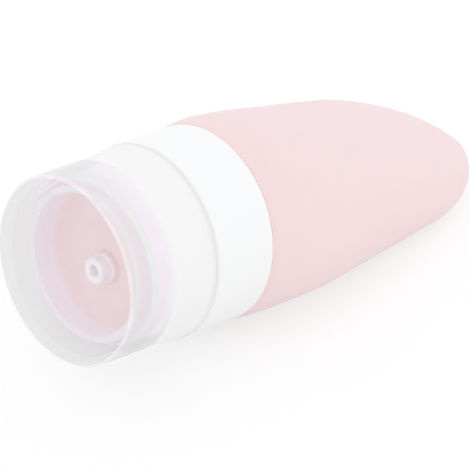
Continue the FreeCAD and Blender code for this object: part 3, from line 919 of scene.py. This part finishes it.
class BOTTLE_OT_spout(bpy.types.Operator):
    """Build the spout with its threaded neck and stem, sunken floor and nozzle"""
    bl_idname = "bottle.spout"
    bl_label = "Spout"

    def execute(self, context):
        sizes = context.scene.bottle_spout
        outline = rounded_outline([
            (0.0, sizes.floor, 0.0),
            (sizes.neck_bore, sizes.floor, sizes.dish_round),
            (sizes.neck_bore, sizes.rim, sizes.rim_round),
            (sizes.neck_radius, sizes.rim, sizes.rim_round),
            (sizes.neck_radius, sizes.flange_front, SOFT_ROUND),
            (sizes.flange_radius, sizes.flange_front, SMALL_ROUND),
            (sizes.flange_radius, sizes.flange_rear, SMALL_ROUND),
            (sizes.stem_radius, sizes.flange_rear),
            (sizes.stem_radius, sizes.stem_end, SOFT_ROUND),
            (sizes.stem_bore, sizes.stem_end, SOFT_ROUND),
            (sizes.stem_bore, sizes.floor_rear, STEM_ROUND),
            (0.0, sizes.floor_rear, 0.0),
        ])
        outline = closer_points(closer_points(outline, sizes.neck_radius), sizes.stem_radius)
        piece = lathe("nozzle_spout", outline)
        material = spout_plastic(sizes)
        cut_thread(piece, material, sizes.neck_radius, "neck")
        cut_thread(piece, material, sizes.stem_radius, "stem")
        middle = (-sizes.nozzle_side, -sizes.nozzle_offset)
        hole_radius = (sizes.nozzle_bore + sizes.nozzle_radius) / 2
        above, below = sizes.floor - HOLE_REACH, sizes.floor_rear + HOLE_REACH
        corners = ((0.0, above), (hole_radius, above), (hole_radius, below), (0.0, below))
        hole = lathe("nozzle_hole", [Vector(corner) for corner in corners], middle)
        combine(piece, hole, "DIFFERENCE")
        foot_top = sizes.floor - sizes.foot_height
        tube_end = (sizes.floor + sizes.floor_rear) / 2
        tube = lathe("nozzle_tube", rounded_outline([
            (sizes.nozzle_bore, sizes.nozzle_tip, BORE_ROUND),
            (sizes.nozzle_radius, sizes.nozzle_tip, LIP_ROUND),
            (sizes.nozzle_radius, foot_top, SOFT_ROUND),
            (sizes.foot_radius, foot_top, SOFT_ROUND),
            (sizes.foot_radius, tube_end),
            (sizes.nozzle_bore, tube_end),
        ]), middle)
        combine(piece, tube, "UNION")
        piece.data.shade_smooth()
        piece.data.set_sharp_from_angle(angle=SHARP_ANGLE)
        settle(piece, "spout", material)
        return {"FINISHED"}


class BOTTLE_OT_cap(bpy.types.Operator):
    """Build the clear to milky screw cap"""
    bl_idname = "bottle.cap"
    bl_label = "Cap"

    def execute(self, context):
        sizes = context.scene.bottle_cap
        slope = (sizes.flare_radius - sizes.front_radius) / sizes.flare_station
        run = sizes.length - sizes.flare_station
        bend = (sizes.rim_radius - sizes.flare_radius - slope * run) / run ** 2
        flare = []
        for number in range(FLARE_POINTS):
            step = run * FLARE_SHARE * number / (FLARE_POINTS - 1)
            radius = sizes.flare_radius + slope * step + bend * step ** 2
            flare.append((radius, sizes.flare_station + step, 0.0))
        outline = rounded_outline([
            (0.0, 0.0, 0.0),
            (sizes.front_radius, 0.0, sizes.front_round),
            *flare,
            (sizes.rim_radius, sizes.length, sizes.rim_round),
            (sizes.seal_bore, sizes.length),
            (sizes.seal_bore, sizes.seat),
            (sizes.bore, sizes.seat),
            (sizes.bore, sizes.front_wall, sizes.bore_round),
            (0.0, sizes.front_wall, 0.0),
        ])
        piece = lathe("clear_cap", closer_points(outline, sizes.bore))
        material = cap_plastic(sizes)
        cut_thread(piece, material, sizes.bore, "cap", way=-1)
        settle(piece, "cap", material)
        return {"FINISHED"}


class BOTTLE_OT_stage(bpy.types.Operator):
    """Set the white floor, the soft light and the camera"""
    bl_idname = "bottle.stage"
    bl_label = "Stage"

    def execute(self, context):
        settings = context.scene.bottle_stage
        context.scene.view_settings.view_transform = "Standard"
        self.floor(settings)
        self.light(context, settings)
        self.camera(context, settings)
        return {"FINISHED"}

    @staticmethod
    def show(tree, lit, shown, output):
        """Show one shader to the camera, to a gloss and through a clear wall, and light by another."""
        path = tree.add("ShaderNodeLightPath").outputs
        seen = tree.either(path["Is Camera Ray"], path["Is Glossy Ray"])
        seen = tree.either(seen, path["Is Transmission Ray"])
        mixed = tree.add("ShaderNodeMixShader", {0: seen, 1: lit.outputs[0], 2: shown.outputs[0]})
        tree.add(output, {"Surface": mixed.outputs[0]})

    def floor(self, settings):
        half = settings.floor_size / 2
        corners = [(-half, -half, 0), (half, -half, 0), (half, half, 0), (-half, half, 0)]
        mesh = bpy.data.meshes.new("floor")
        mesh.from_pydata(corners, [], [(0, 1, 2, 3)])
        floor = new_object("floor", mesh)
        material = bpy.data.materials.new("White floor")
        material.use_nodes = True
        material.node_tree.nodes.clear()
        tree = NodeTree(material.node_tree)
        fainter_tint = shade(settings.floor_tint, settings.floor_share)
        lit = tree.add("ShaderNodeBsdfDiffuse", {"Color": (*settings.floor_tint, 1.0)})
        fainter = tree.add("ShaderNodeBsdfDiffuse", {"Color": (*fainter_tint, 1.0)})
        glow = tree.add("ShaderNodeEmission", {"Color": WHITE, "Strength": settings.floor_glow})
        shown = tree.add("ShaderNodeAddShader", {0: fainter.outputs[0], 1: glow.outputs[0]})
        self.show(tree, lit, shown, "ShaderNodeOutputMaterial")
        mesh.materials.append(material)

    def light(self, context, settings):
        world = bpy.data.worlds.new("Soft white")
        world.use_nodes = True
        world.node_tree.nodes.clear()
        tree = NodeTree(world.node_tree)
        lit = tree.add("ShaderNodeBackground", {"Color": WHITE, "Strength": settings.world_light})
        shown = tree.add("ShaderNodeBackground", {"Color": WHITE, "Strength": 1.0})
        self.show(tree, lit, shown, "ShaderNodeOutputWorld")
        context.scene.world = world
        lamp = bpy.data.lights.new("soft_key", "AREA")
        lamp.energy = settings.key_power
        lamp.size = settings.key_size
        key = new_object("soft_key", lamp)
        key.location = settings.key_place
        key.rotation_euler = (-key.location).to_track_quat("-Z", "Y").to_euler()

    @staticmethod
    def camera(context, settings):
        lens = bpy.data.cameras.new("camera")
        lens.lens = settings.camera_lens
        lens.sensor_width = 36.0
        lens.clip_start = 0.01
        lens.clip_end = 20.0
        camera = new_object("camera", lens)
        camera.location = settings.camera_place
        camera.rotation_euler = Vector(settings.camera_heading).to_track_quat("-Z", "Y").to_euler()
        context.scene.camera = camera


GROUPS = {
    "bottle_thread": BottleThreadSizes,
    "bottle_body": BottleBodySizes,
    "bottle_insert": BottleInsertSizes,
    "bottle_collar": BottleCollarSizes,
    "bottle_seals": BottleSealSizes,
    "bottle_spout": BottleSpoutSizes,
    "bottle_cap": BottleCapSizes,
    "bottle_stage": BottleStageSettings,
}

BUILDERS = (
    BOTTLE_OT_silicone_body,
    BOTTLE_OT_thread_insert,
    BOTTLE_OT_collar,
    BOTTLE_OT_seals,
    BOTTLE_OT_spout,
    BOTTLE_OT_cap,
    BOTTLE_OT_stage,
)


class BOTTLE_PT_panel(bpy.types.Panel):
    """Lists the bottle's pieces with their sizes and colours"""
    bl_idname = "BOTTLE_PT_panel"
    bl_label = "Travel bottle"
    bl_space_type = "VIEW_3D"
    bl_region_type = "UI"
    bl_category = "Bottle"

    def draw(self, context):
        for builder in BUILDERS:
            self.layout.operator(builder.bl_idname)
        for name, group in GROUPS.items():
            box = self.layout.box()
            box.label(text=group.__doc__)
            for entry in group.__annotations__:
                box.prop(getattr(context.scene, name), entry, text=entry.replace("_", " ").capitalize())


CLASSES = (*GROUPS.values(), *BUILDERS, BOTTLE_PT_panel)


def register():
    for item in CLASSES:
        bpy.utils.register_class(item)
    for name, group in GROUPS.items():
        setattr(bpy.types.Scene, name, PointerProperty(type=group))


def unregister():
    for name in GROUPS:
        delattr(bpy.types.Scene, name)
    for item in reversed(CLASSES):
        bpy.utils.unregister_class(item)


def main():
    """Build every piece and the stage in order."""
    register()
    bpy.ops.bottle.silicone_body()
    bpy.ops.bottle.thread_insert()
    bpy.ops.bottle.collar()
    bpy.ops.bottle.seals()
    bpy.ops.bottle.spout()
    bpy.ops.bottle.cap()
    bpy.ops.bottle.stage()


if __name__ == "__main__":
    main()
